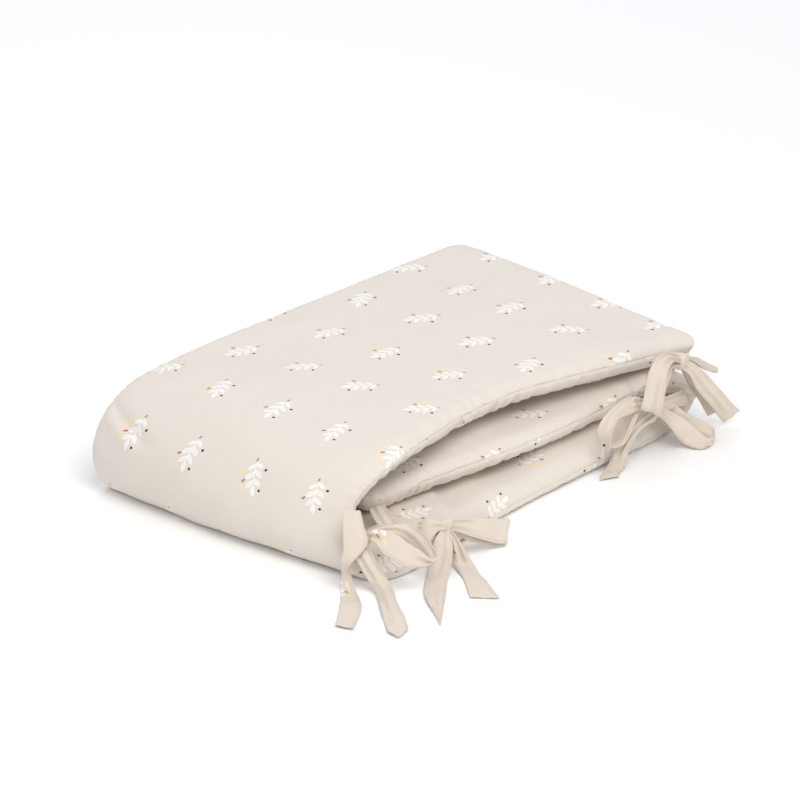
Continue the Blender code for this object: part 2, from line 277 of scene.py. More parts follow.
SPRIG = (
    Mark(Ink.WHITE, -1.0, 0.0, 0, 19.0, 0.75, pointed=False),
    Mark(Ink.WHITE, 17.5, 0.0, 0, 7.0, 3.0),
    Mark(Ink.WHITE, 10.0, 4.6, 46, 6.8, 2.8),
    Mark(Ink.WHITE, 8.0, -4.6, -46, 6.8, 2.8),
    Mark(Ink.WHITE, 0.0, 5.0, 50, 7.2, 3.0),
    Mark(Ink.WHITE, -2.0, -5.0, -50, 7.2, 3.0),
    Mark(Ink.WHITE, -10.0, 4.4, 54, 6.0, 2.5),
    Mark(Ink.WHITE, -12.0, -4.4, -54, 6.0, 2.5),
    Mark(Ink.VEIN, 10.0, 4.8, 46, 4.2, 0.35, pointed=False),
    Mark(Ink.VEIN, 0.0, 5.2, 50, 4.6, 0.35, pointed=False),
    Mark(Ink.VEIN, -2.0, -5.2, -50, 4.6, 0.35, pointed=False),
    Mark(Ink.BROWN, 5.5, 12.5, 52, 3.0, 1.5, pointed=False),
    Mark(Ink.BROWN, -19.0, 0.6, 12, 2.6, 1.1, pointed=False),
    Mark(Ink.DARK, -6.5, -13.0, 0, 1.7, 1.7, pointed=False),
    Mark(Ink.DARK, 17.5, -8.0, 0, 1.6, 1.6, pointed=False),
    Mark(Ink.YELLOW, -5.0, 15.5, 28, 6.0, 2.7, second_bud=True),
    Mark(Ink.YELLOW, 14.0, 14.5, 8, 4.2, 2.2, second_bud=True),
)


@dataclass(frozen=True)
class SprigPrint:
    """A scattered leafy sprig about 43 mm long, in half-drop rows, each one turned and set off a little.

    Repeats and offset are in metres, drift in mm and tilt in radians. Lens and lens_reach are how far
    a pointed leaf's two circles lie off its middle line and their radius, in half leaf lengths.
    """

    repeat_along: float = 0.097
    repeat_across: float = 0.084
    drift: float = 9.0
    tilt: float = 1.3
    second_bud_share: float = 0.34
    lens: float = 0.75
    lens_reach: float = 1.25
    soft_edge: tuple[float, float] = (0.93, 1.02)
    offset: tuple[float, float] = (0.0, 0.0)

    def paint(self, tree: Tree, cloth: Socket, ground: Socket) -> Socket:
        """Prints the sprigs over the ground colour.

        The cloth is cut into cells, odd columns half a cell up. In each cell a point is measured
        from the sprig's middle in mm, turned by the cell's chance tilt, and tested against each mark.

        Args:
            tree: the material's nodes.
            cloth: u and v in metres.
            ground: the cloth's own colour.

        Returns:
            The colour with the print on it.
        """
        start = calc(tree, "VectorMath", "ADD", cloth, (*self.offset, 0))
        per_metre = (1 / self.repeat_along, 1 / self.repeat_across, 0)
        repeats = calc(tree, "VectorMath", "MULTIPLY", start, per_metre)
        column = calc(tree, "Math", "FLOOR", add_node(tree, "SeparateXYZ", {0: repeats}))
        odd = calc(tree, "Math", "FLOORED_MODULO", column, 2.0)
        drop = add_node(tree, "CombineXYZ", {1: calc(tree, "Math", "MULTIPLY", odd, 0.5)})
        place = calc(tree, "VectorMath", "ADD", repeats, drop)
        cell = calc(tree, "VectorMath", "FLOOR", place)
        chance = add_node(tree, "TexWhiteNoise", {0: cell}, "Color", noise_dimensions="3D")
        dice = add_node(tree, "SeparateXYZ", {0: chance}, 2)
        has_second = calc(tree, "Math", "LESS_THAN", dice, self.second_bud_share)

        within = calc(tree, "VectorMath", "SUBTRACT", place, cell)
        centred = calc(tree, "VectorMath", "SUBTRACT", within, (0.5, 0.5, 0))
        cell_size = (self.repeat_along / MM, self.repeat_across / MM, 0)
        in_mm = calc(tree, "VectorMath", "MULTIPLY", centred, cell_size)
        span, least = (self.drift, self.drift, 0), (-self.drift / 2, -self.drift / 2, 0)
        drift = calc(tree, "VectorMath", "MULTIPLY_ADD", chance, span, least)
        middle = calc(tree, "VectorMath", "SUBTRACT", in_mm, drift)
        luck = chance.node.outputs["Value"]
        tilt = calc(tree, "Math", "MULTIPLY_ADD", luck, self.tilt, -self.tilt / 2)
        point = add_node(tree, "VectorRotate", {"Vector": middle, "Angle": tilt}, rotation_type="Z_AXIS")

        colour = ground
        for ink in Ink:
            for second in (False, True):
                marks = [mark for mark in SPRIG if mark.ink is ink and mark.second_bud is second]
                if not marks:
                    continue
                cover = self.cover(tree, point, marks)
                if second:
                    cover = calc(tree, "Math", "MULTIPLY", cover, has_second)
                colour = blend(tree, cover, colour, linear(ink.value))
        return colour

    def cover(self, tree: Tree, point: Socket, marks: list[Mark]) -> Socket:
        """How far a point lies in any of the marks: 1 inside, 0 outside, with a thin soft edge.

        A round mark is where the point, measured in the mark's half sizes, is nearer than 1. A
        pointed one is where two circles overlap, whose middles lie off to either side of the leaf.

        Args:
            tree: the material's nodes.
            point: place in mm from the sprig's middle.
            marks: the shapes that share one ink.

        Returns:
            The cover, from 0 to 1.
        """
        total = None
        for mark in marks:
            wide = mark.half_width / (self.lens_reach - self.lens) if mark.pointed else mark.half_width
            turn, size = (0, 0, math.radians(mark.turn)), (mark.half_length, wide, 1)
            frame_of_mark = {0: point, 1: (mark.x, mark.y, 0), 2: turn, 3: size}
            local = add_node(tree, "Mapping", frame_of_mark, vector_type="TEXTURE")
            reach = 1.0
            if mark.pointed:
                reach = self.lens_reach
                positive = calc(tree, "VectorMath", "ABSOLUTE", local)
                local = calc(tree, "VectorMath", "ADD", positive, (0, self.lens, 0))
            far = add_node(tree, "VectorMath", {0: local}, "Value", operation="LENGTH")
            full, none = (reach * edge for edge in self.soft_edge)
            inside = add_node(tree, "MapRange", {0: far, 1: full, 2: none, 3: 1.0, 4: 0.0})
            total = inside if total is None else calc(tree, "Math", "MAXIMUM", total, inside)
        return total


@dataclass(frozen=True)
class PrintedCotton:
    """Plain-woven cotton percale, dyed a warm sand colour and screen printed: matt with a faint fuzz.

    The threads are 0.3 mm apart, too fine to show, so their slubs are drawn 1.1 mm apart. All
    lengths are in metres.
    """

    name: str
    ground: str
    shade: str
    slub_gap: float = 0.0011
    slub_length: float = 0.011
    weave_depth: float = 0.0001
    crumple_size: float = 0.028
    crumple_depth: float = 0.0011
    roughness: float = 0.88
    gloss: float = 0.25
    fuzz: float = 0.12
    fuzz_roughness: float = 0.5
    sprigs: SprigPrint = SprigPrint()
    edge_stitch: bool = False
    tape_half_width: float = 0.011
    stitch_inset: float = 0.0022
    stitch_shade: str = "#B9A899"
    stitch_share: float = 0.2
    stitch_depth: float = 0.0005
    stitch_edge: tuple[float, float] = (0.0002, 0.0009)

    def build(self) -> Material:
        """Makes the material: woven ground, print, sheen, and a bump of slubs and soft crumples.

        Returns:
            The material, which reads the cloth's own u and v.
        """
        material, tree = new_material(self.name)
        cloth = add_node(tree, "UVMap", uv_map="cloth")
        weave = calc(tree, "Math", "ADD", *(self.threads(tree, cloth, lay) for lay in ((1, 0), (0, 1))))
        tone = add_node(tree, "MapRange", {0: weave, 1: 0.5, 2: 1.5, 3: 0.0, 4: 1.0})
        ground = blend(tree, tone, linear(self.shade), linear(self.ground))
        colour = self.sprigs.paint(tree, cloth, ground)

        lumps = {"Vector": cloth, "Scale": 1 / self.crumple_size, "Detail": 3.0, "Roughness": 0.45}
        crumple = add_node(tree, "TexNoise", lumps, "Fac")
        soft = {"Height": crumple, "Distance": self.crumple_depth, "Strength": 0.55}
        woven = {"Height": weave, "Distance": self.weave_depth, "Strength": 0.5}
        normal = add_node(tree, "Bump", woven | {"Normal": add_node(tree, "Bump", soft)})
        if self.edge_stitch:
            colour, normal = self.stitch(tree, cloth, colour, normal)
        surface = {"Base Color": colour, "Normal": normal, "Roughness": self.roughness}
        surface |= {"Specular IOR Level": self.gloss, "Sheen Weight": self.fuzz}
        plug(tree, tree.nodes["Principled BSDF"], surface | {"Sheen Roughness": self.fuzz_roughness})
        return material

    def threads(self, tree: Tree, cloth: Socket, lay: tuple[int, int]) -> Socket:
        """Slubs of the threads that run one way: noise drawn out along them.

        Args:
            tree: the material's nodes.
            cloth: u and v in metres.
            lay: (1, 0) for threads along the cloth, (0, 1) for threads across it.

        Returns:
            The slubs, about 0.5 on average.
        """
        scale = [1 / (self.slub_length if runs else self.slub_gap) for runs in lay]
        drawn = calc(tree, "VectorMath", "MULTIPLY", cloth, (*scale, 1))
        return add_node(tree, "TexNoise", {"Vector": drawn, "Scale": 1.0, "Detail": 1.0}, "Fac")

    def stitch(self, tree: Tree, cloth: Socket, colour: Socket, normal: Socket) -> tuple[Socket, Socket]:
        """The tape's edge stitching: a shallow line pressed in along one edge, slightly darker.

        Args:
            tree: the material's nodes.
            cloth: u and v in metres, v from the tape's middle.
            colour: the colour so far.
            normal: the bump so far.

        Returns:
            The colour and the normal with the stitching.
        """
        across = add_node(tree, "SeparateXYZ", {0: cloth}, 1)
        offset = calc(tree, "Math", "SUBTRACT", across, self.tape_half_width - self.stitch_inset)
        away = calc(tree, "Math", "ABSOLUTE", offset)
        full, none = self.stitch_edge
        line = add_node(tree, "MapRange", {0: away, 1: full, 2: none, 3: 1.0, 4: 0.0})
        faint = calc(tree, "Math", "MULTIPLY", line, self.stitch_share)
        groove = {"Height": line, "Distance": self.stitch_depth, "Strength": 0.7, "Normal": normal}
        darker = blend(tree, faint, colour, linear(self.stitch_shade))
        return darker, add_node(tree, "Bump", groove, invert=True)


@dataclass(frozen=True)
class PaperSweep:
    """White seamless studio paper: matt, even, with a very slight tooth, in metres."""

    name: str = "white_seamless_paper"
    colour: str = "#FFFFFF"
    roughness: float = 0.95
    tooth_size: float = 0.004
    tooth_depth: float = 0.0001

    def build(self) -> Material:
        """Makes the material: a flat white with a faint bump."""
        material, tree = new_material(self.name)
        place = add_node(tree, "TexCoord", output="Object")
        tooth = add_node(tree, "TexNoise", {"Vector": place, "Scale": 1 / self.tooth_size}, "Fac")
        bump = add_node(tree, "Bump", {"Height": tooth, "Distance": self.tooth_depth, "Strength": 0.2})
        surface = {"Base Color": linear(self.colour), "Normal": bump, "Roughness": self.roughness}
        plug(tree, tree.nodes["Principled BSDF"], surface | {"Specular IOR Level": 0.0})
        return material


# ---------------------------------------------------------------- the padded panel
@dataclass(frozen=True)
class Face:
    """One of the panel's two cloth faces.

    Side is +1 or -1, by the side of the seam surface that it lies on. Rim_depth is how far its rim
    rounds off, in mm. Pinch_share and pinch_reach scale the depth and reach of its pinches. Seed
    picks its ripples, and print_start is where its cloth lies on the print, in metres.
    """

    side: int
    rim_depth: float
    pinch_share: float
    pinch_reach: float
    seed: int
    print_start: tuple[float, float]


OUTER = Face(1, 16.0, pinch_share=2.2, pinch_reach=1.1, seed=10, print_start=(0.031, 0.012))
INNER = Face(-1, 21.0, pinch_share=3.0, pinch_reach=1.45, seed=40, print_start=(0.467, 0.309))


@dataclass(frozen=True)
class Crease:
    """One crease in a cloth face, at a place along and across the strip, in mm and degrees.

    It sags off its heading by a share of its length. The ridge beside its valley has its height,
    offset and width as shares of the valley's depth and width.
    """

    face: Face
    along: float
    across: float
    heading: float
    length: float
    depth: float
    width: float = 5.0
    sag: float = 0.12
    ridge: tuple[float, float, float] = (0.7, 1.9, 1.3)

    def run_and_off(self, along: Array, across: Array) -> tuple[Array, Array]:
        """Distances from the crease's middle: along its heading, and off to its side."""
        turn = math.radians(self.heading)
        run = (along - self.along) * math.cos(turn) + (across - self.across) * math.sin(turn)
        off = (across - self.across) * math.cos(turn) - (along - self.along) * math.sin(turn)
        return run, off

    def fade(self, run: Array) -> Array:
        """How strong the crease is: one along its middle, and gone soon after both ends."""
        return np.exp(-((2 * run / self.length) ** 4))

    def relief(self, along: Array, across: Array) -> Array:
        """Height of the crease: a valley with a soft ridge beside it, which fade out at both ends."""
        run, off = self.run_and_off(along, across)
        off = off + self.sag * self.length * (run / self.length) ** 2
        height, offset, width = self.ridge
        ridge = height * bell(off - offset * self.width, width * self.width)
        return self.depth * (ridge - bell(off, self.width)) * self.fade(run)


@dataclass(frozen=True)
class Lap(Crease):
    """A fold whose cloth lies raised on one side of its edge and drops off sharply on the other."""

    reach: float = 32.0

    def relief(self, along: Array, across: Array) -> Array:
        """Height of the lap: a bell that is wide behind the edge and narrow before it."""
        run, off = self.run_and_off(along, across)
        return self.depth * bell(off, np.where(off > 0, self.width, self.reach)) * self.fade(run)


CREASES = (
    Crease(OUTER, along=578, across=132, heading=-69, length=78, depth=3.6, width=6.0),
    Crease(OUTER, along=505, across=152, heading=-80, length=34, depth=3.0, width=4.0),
    Crease(OUTER, along=633, across=20, heading=-109, length=95, depth=1.3, width=7.0),
    Crease(OUTER, along=139, across=-158, heading=-82, length=36, depth=1.0, width=4.0),
    Crease(OUTER, along=118, across=-150, heading=-100, length=44, depth=0.8, width=4.5),
    Lap(INNER, along=824, across=-134, heading=-119, length=52, depth=6.0, width=3.5),
    Crease(INNER, along=759, across=-118, heading=-129, length=42, depth=2.0, width=3.5),
)


@dataclass(frozen=True)
class Pinches:
    """A row of narrow valleys along the seam, at uneven distances and of uneven depths, in mm.

    Back_shift sets the back seam's row off the front one's. Wander is how far a valley may stray, as
    a share of the spacing, and wander_length is over how many spacings that changes. Mean and spread
    are shares of the depth, which change over spread_length and are kept within the limits.
    """

    spacing: float
    depth: float
    reach: float
    sharpness: float
    seed: int
    back_shift: float = 77.0
    wander: float = 0.35
    wander_length: float = 4.0
    mean: float = 0.62
    spread: float = 0.5
    spread_length: float = 90.0
    limits: tuple[float, float] = (0.1, 1.3)

    def relief(self, face: Face, along: Array, side: Array, from_seam: Array) -> Array:
        """Depth of the pinches in one face.

        Args:
            face: the cloth face.
            along: distance along the strip.
            side: 0 at the front seam, and the back seam's own number at the back.
            from_seam: distance from the nearer seam.

        Returns:
            Depths below the smooth padding.
        """
        seed = face.seed + self.seed
        stray = self.wander * self.spacing * ripple(along, side, self.wander_length * self.spacing, seed)
        place = along + self.back_shift * (side > 0) + stray
        valley = (1 - np.abs(np.sin(math.pi * place / self.spacing))) ** self.sharpness
        share = self.mean + self.spread * ripple(along, side, self.spread_length, seed + 4)
        fade = bell(from_seam, self.reach * face.pinch_reach)
        return self.depth * valley * np.clip(share, *self.limits) * fade


@dataclass(frozen=True)
class PaddedPanel:
    """The long padded strip: two faces of printed cotton over wadding, folded like a letter.

    Each row of the table is one section across the strip: where the seam surface passes at the front
    seam, halfway across and at the back seam, and the padding's height over and under it. Lengths are
    in mm. Groove is how far the seam is drawn in, on average and with its spread along groove_wave.
    Lumps are the wavelength and height of the soft swells, which fade within lump_fade of the seam.
    Pinch is how strongly the front seam pinches at the distances pinch_at along the strip, and
    back_share how strongly the back seam does. Back_number sets its ripples off the front's.
    """

    chord_power: float = 0.75
    samples: int = 3000
    crown: float = 0.12
    corner_radius: float = 18.0
    corner_ease: float = 70.0
    bend_weight: float = 60.0
    sections: int = 470
    rim_stations: int = 17
    rim_crowding: float = 1.45
    inner_stations: int = 66
    end_stations: int = 10
    groove: float = 2.0
    groove_angle: float = 0.13
    groove_mean: float = 0.85
    groove_spread: float = 0.35
    groove_wave: float = 34.0
    groove_seed: int = 7
    relief_fade: float = 2.2
    lumps: tuple[tuple[float, float], ...] = ((150, 1.5), (62, 0.6))
    lump_fade: float = 40.0
    back_share: float = 0.3
    back_number: float = 7.0
    pinches: tuple[Pinches, ...] = (
        Pinches(spacing=15.0, depth=2.0, reach=13.0, sharpness=1.6, seed=2),
        Pinches(spacing=37.0, depth=1.0, reach=30.0, sharpness=2.2, seed=3),
    )
    pinch_at: Row = (0, 100, 140, 250, 330, 450, 520, 600, 700, 820, 1000, 1200, 1260, 1350, 1765)
    pinch: Row = (0.3, 0.5, 0.7, 1.0, 1.6, 1.7, 1.0, 0.5, 0.3, 0.5, 0.5, 0.8, 1.2, 0.8, 0.9)
    #     front: x     y    z  middle: x    z  back: x    y    z  outer  inner
    rows: tuple[Row, ...] = (
        (278, -178, 97, 287, 100, 286, 197, 103, 11, 21),
        (180, -158, 98, 185, 102, 190, 197, 104, 12, 23),
        (30, -130, 102, 30, 105, 30, 194, 106, 12, 23),
        (-115, -147, 107, -125, 109, -135, 192, 108, 12, 23),
        (-192, -163, 105, -204, 108, -206, 190, 106, 12, 21),
        (-240, -164, 89, -260, 96, -260, 190, 95, 12, 20),
        (-267, -162, 56, -296, 61, -296, 189, 60, 12, 20),
        (-280, -181, 27, -301, 30, -300, 187, 31, 12, 20),
        (-273, -203, 12, -281, 12, -288, 184, 12, 13, 21),
        (-190, -213, 11, -180, 11, -180, 182, 11, 14, 22),
        (0, -189, 11, 10, 11, 10, 181, 11, 14, 22),
        (170, -182, 11, 180, 11, 185, 183, 11, 14, 22),
        (242, -174, 13, 260, 13, 270, 183, 13, 14, 20),
        (272, -174, 35, 290, 35, 296, 183, 35, 11, 18),
        (242, -167, 57, 260, 58, 270, 183, 58, 11, 20),
        (170, -159, 58, 175, 59, 180, 183, 59, 12, 22),
        (-5, -163, 58, 0, 60, 0, 181, 59, 12, 22),
        (-145, -148, 56, -150, 59, -150, 179, 58, 12, 22),
        (-216, -141, 52, -220, 56, -220, 177, 55, 11, 21),
    )

    def columns(self) -> tuple[Array, Array]:
        """The rows as smooth columns: a spline over the middle line's chords to a power.

        Returns:
            The distance along the middle line, and the columns at each distance.
        """
        rows = np.array(self.rows, float)
        chords = np.linalg.norm(np.diff(rows[:, 3:5], axis=0), axis=1) ** self.chord_power
        knots = np.concatenate([[0], np.cumsum(chords)])
        columns = spline(knots, rows, np.linspace(0, knots[-1], self.samples))
        return distances(columns[:, 3:5]), columns

    def along_stations(self, distance: Array, columns: Array) -> Array:
        """Places along the strip, closer together where it bends and towards its two ends.

        Args:
            distance: distance along the middle line.
            columns: the table's columns at each distance.

        Returns:
            Distances along the middle line, one for each section.
        """
        heading = np.unwrap(np.arctan2(*np.gradient(columns[:, 3:5], distance, axis=0).T))
        weight = distance + self.bend_weight * np.concatenate([[0], np.cumsum(np.abs(np.diff(heading)))])
        ease = INNER.rim_depth * (1 - np.cos(np.linspace(0, math.pi / 2, self.end_stations + 1)))
        first, last = np.interp((ease[-1], distance[-1] - ease[-1]), distance, weight)
        inner = np.interp(np.linspace(first, last, self.sections - 2 * self.end_stations), weight, distance)
        return np.concatenate([ease[:-1], inner, distance[-1] - ease[-2::-1]])

    def across_stations(self, half_width: float) -> Array:
        """Places across the strip from its middle, spaced by angle round both rims, closest at the seams."""
        depth = INNER.rim_depth
        angles = math.pi / 2 * np.linspace(0, 1, self.rim_stations + 1) ** self.rim_crowding
        ease = depth * (1 - np.cos(angles))
        inner = np.linspace(depth - half_width, half_width - depth, self.inner_stations)
        return np.concatenate([ease[:-1] - half_width, inner, half_width - ease[-2::-1]])

    def seam_surface(self, places: Array, share: Array, distance: Array, columns: Array) -> tuple[Array, ...]:
        """The surface that both faces are measured from: a parabola through each section's three points.

        Args:
            places: distance along the strip of each point.
            share: place across the strip of each point, from -1 at the front seam to 1.
            distance: distance along the middle line.
            columns: the table's columns at each distance.

        Returns:
            The surface's points, and the padding's height over and under each one.
        """
        read = [np.interp(places, distance, column) for column in columns.T]
        x_front, y_front, z_front, x_middle, z_middle, x_back, y_back, z_back, outer, inner = read
        front = np.stack((x_front, y_front, z_front), axis=-1)
        middle = np.stack((x_middle, (y_front + y_back) / 2, z_middle), axis=-1)
        back = np.stack((x_back, y_back, z_back), axis=-1)
        share = share[..., None]
        surface = front * share * (share - 1) / 2 + middle * (1 - share**2) + back * share * (share + 1) / 2
        return surface, outer, inner

    def skins(self) -> dict[Face, tuple[Array, Array]]:
        """Both cloth faces as grids of points, with the cloth's own distances along and across.

        A face stands off the seam surface by the padding's height times a quarter ellipse at the
        seam and at the ends, plus its relief. The seam itself is drawn in as a groove.

        Returns:
            For each face its points, and u and v in metres at each point.
        """
        distance, columns = self.columns()
        length = distance[-1]
        along = self.along_stations(distance, columns)
        half_width = (columns[:, 6] - columns[:, 1]).mean() / 2
        across = self.across_stations(half_width)

        from_seam = half_width - np.abs(across)
        corner = np.clip(self.corner_radius - from_seam, 0, self.corner_radius)
        notch = self.corner_radius - np.sqrt(self.corner_radius**2 - corner**2)
        to_ends = np.stack([along, length - along])[..., None]
        ease = np.clip(1 - to_ends / self.corner_ease, 0, 1)
        places = along[:, None] + notch * (ease[0] - ease[1])
        share = np.broadcast_to(across / half_width, places.shape)
        surface, outer, inner = self.seam_surface(places, share, distance, columns)
        run = unit(np.gradient(surface, along, axis=0))
        width = unit(np.gradient(surface, across, axis=1))
        normal = unit(np.cross(width, run))
        from_end = np.minimum(places - notch, length - notch - places)
        waves = ripple(places, 0 * places, self.groove_wave, self.groove_seed)
        uneven = self.groove * (self.groove_mean + self.groove_spread * waves)
        inward_run = np.where(along < length / 2, 1, -1)[:, None]

        skins = {}
        for face, height in ((OUTER, outer), (INNER, inner)):
            rims = [np.clip(1 - inward / face.rim_depth, 0, 1) for inward in (from_seam, from_end)]
            full = np.sqrt(1 - rims[0] ** 2) * np.sqrt(1 - rims[1] ** 2)
            rise = height * (1 - self.crown * share**2) * full
            relief = self.relief(face, places, across[None, :] + 0 * places, from_seam)
            lift = rise + relief * np.clip(self.relief_fade * full, 0, 1)
            drawn_in = [uneven * np.exp(-np.arccos(rim) / self.groove_angle) for rim in rims]
            skin = surface + normal * (face.side * lift)[..., None]
            skin = skin - width * (np.sign(across) * drawn_in[0])[..., None]
            skin = skin + run * (inward_run * drawn_in[1])[..., None]
            skin[..., 2] = np.maximum(skin[..., 2], 0)
            skins[face] = skin, self.cloth(skin, face)
        shared = (skins[OUTER][0] + skins[INNER][0]) / 2
        for skin, _ in skins.values():
            skin[0], skin[-1] = shared[0], shared[-1]
            skin[:, 0], skin[:, -1] = shared[:, 0], shared[:, -1]
        return skins

    def relief(self, face: Face, along: Array, across: Array, from_seam: Array) -> Array:
        """Height of the cloth over its smooth padding: soft lumps, pinches at the seam and creases.

        The pinches run deepest where the strip bends and along the seam's tighter stretches.

        Args:
            face: the cloth face.
            along: distance along the strip.
            across: distance across it from its middle.
            from_seam: distance from the nearer seam.

        Returns:
            Heights over the smooth padding.
        """
        back = across > 0
        side = np.where(back, self.back_number, 0.0)
        total = 0
        for number, (wavelength, height) in enumerate(self.lumps):
            total = total + height * ripple(along, across, wavelength, face.seed + number)
        total = total * np.clip(from_seam / self.lump_fade, 0, 1)
        strength = np.where(back, self.back_share, np.interp(along, self.pinch_at, self.pinch))
        strength = strength * face.pinch_share
        for pinches in self.pinches:
            total = total - strength * pinches.relief(face, along, side, from_seam)
        for crease in CREASES:
            if crease.face is face:
                total = total + crease.relief(along, across)
        return total

    def cloth(self, skin: Array, face: Face) -> Array:
        """The cloth's own u and v in metres: distances over the face from its first end and its middle.

        Args:
            skin: the face as a grid of points in mm.
            face: which face it is.

        Returns:
            The u and v at each point.
        """
        middle = skin.shape[1] // 2
        steps = np.linalg.norm(np.diff(skin, axis=1), axis=2)
        v = np.concatenate([np.zeros((len(skin), 1)), np.cumsum(steps, axis=1)], axis=1)
        v = v - v[:, middle : middle + 1]
        u = np.broadcast_to(distances(skin[:, middle])[:, None], v.shape)
        u_start, v_start = face.print_start
        return np.stack([u * MM + u_start, v * MM * face.side + v_start], axis=-1)

    def build(self, finish: Material) -> Piece:
        """Makes the panel as one closed bag, whose two faces share their border points, and dresses it.

        Args:
            finish: the panel's cloth.

        Returns:
            The new piece.
        """
        skins = self.skins()
        outer, outer_cloth = skins[OUTER]
        inner, inner_cloth = skins[INNER]
        rows, columns = outer.shape[:2]
        index = np.arange(rows * columns).reshape(rows, columns)
        under = index.copy()
        under[1:-1, 1:-1] = rows * columns + np.arange((rows - 2) * (columns - 2)).reshape(rows - 2, -1)
        points = np.concatenate([outer.reshape(-1, 3), inner[1:-1, 1:-1].reshape(-1, 3)])
        over = quads_of(index)
        faces = np.concatenate([over, quads_of(under)[:, ::-1]])
        cloth = np.concatenate([outer_cloth.reshape(-1, 2)[over], inner_cloth.reshape(-1, 2)[over[:, ::-1]]])
        piece = mesh_object("padded_strip", points, faces, cloth, finish)
        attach(piece, "root")
        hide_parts("padded_panel")
        return piece


# ---------------------------------------------------------------- the tapes
@dataclass(frozen=True)
class TapeFold:
    """A fold that crosses a tape at a share of its length: its height up, width and slant in mm."""

    share: float
    height: float
    width: float
    slant: float = 0.0

    def rise(self, along: Array, lane: Array) -> Array:
        """Height of the fold: a bell along the tape, whose top shifts by the slant from edge to edge."""
        return self.height * bell(along - self.share * along.max() - self.slant * lane, self.width)


